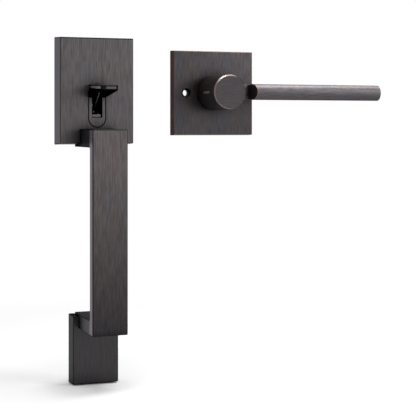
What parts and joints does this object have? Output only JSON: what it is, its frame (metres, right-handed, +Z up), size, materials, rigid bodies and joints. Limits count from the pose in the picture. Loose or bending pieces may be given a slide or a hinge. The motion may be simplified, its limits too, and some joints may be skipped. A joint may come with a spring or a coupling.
{
  "type": "entry door handleset",
  "caption": "Entry handleset: square escutcheon with thumbpiece, flat grip on two posts, foot plate, and an interior lever on a square rose.",
  "frame": {"origin": "where the exterior bore's axis meets the door's face", "axes": "+Z up, +Y into the door, +X to the right as the viewer faces the door"},
  "size_m": [0.2554, 0.1142, 0.2696],
  "materials": {
    "bronze": "dark oil-rubbed bronze on a zinc casting, brushed",
    "dark_bronze": "near-black bronze, satin",
    "steel": "zinc-plated steel",
    "spring_steel": "oiled spring steel",
    "brass": "plain brass",
    "nylon": "black nylon"
  },
  "bodies": {
    "door_fixed": {"exterior_escutcheon": "bronze", "thumb_slot_insert": "bronze", "thumbpiece_pivot_pin": "steel", "thumbpiece_spring": "spring_steel", "exterior_mounting_plate": "steel", "mounting_post_left": "steel", "mounting_post_right": "steel", "crank_return_spring": "spring_steel", "escutcheon_cover_screws": "steel", "grip_handle": "bronze", "upper_grip_screws": "steel", "lower_grip_screws": "steel", "foot_cover": "bronze", "foot_mounting_plate": "steel", "foot_mounting_post": "steel", "foot_cover_screws": "steel", "interior_rose": "bronze", "rose_mounting_plate": "steel", "spring_cage": "steel", "lever_return_spring": "spring_steel", "lever_bushing": "nylon"},
    "thumb_lever": {"thumbpiece": "dark_bronze"},
    "crank": {"spindle_crank": "steel", "exterior_spindle": "steel", "crank_retaining_ring": "spring_steel"},
    "lever": {"interior_lever": "bronze", "lever_driver": "steel", "driver_retaining_ring": "spring_steel", "lever_catch_spring": "spring_steel"},
    "catch": {"lever_catch": "brass"}
  },
  "joints": [
    {"name": "thumb_press", "type": "hinge", "parent": "door_fixed", "child": "thumb_lever", "pos_m": [0, -0.008, -0.0186], "axis": [1, 0, 0], "range_deg": [0, 14], "stiffness_Nm_per_rad": 0.12, "springref_deg": -22.92},
    {"name": "crank_turn", "type": "hinge", "parent": "door_fixed", "child": "crank", "pos_m": [0, 0, 0], "axis": [0, -1, 0], "range_deg": [0, 28], "stiffness_Nm_per_rad": 0.05, "springref_deg": -17.19},
    {"name": "lever_turn", "type": "hinge", "parent": "door_fixed", "child": "lever", "pos_m": [0.0989, 0, -0.0008], "axis": [0, 1, 0], "range_deg": [-45, 45], "stiffness_Nm_per_rad": 1, "springref_deg": -5.16},
    {"name": "catch_press", "type": "slide", "parent": "lever", "child": "catch", "axis": [1, 0, 0], "range_m": [0, 0.0015], "stiffness_N_per_m": 400, "springref_m": -0.002, "deforming": ["lever_catch_spring"]}
  ],
  "couplings": [
    {"joint": "crank_turn", "follows": "thumb_press", "ratio": 2}
  ]
}
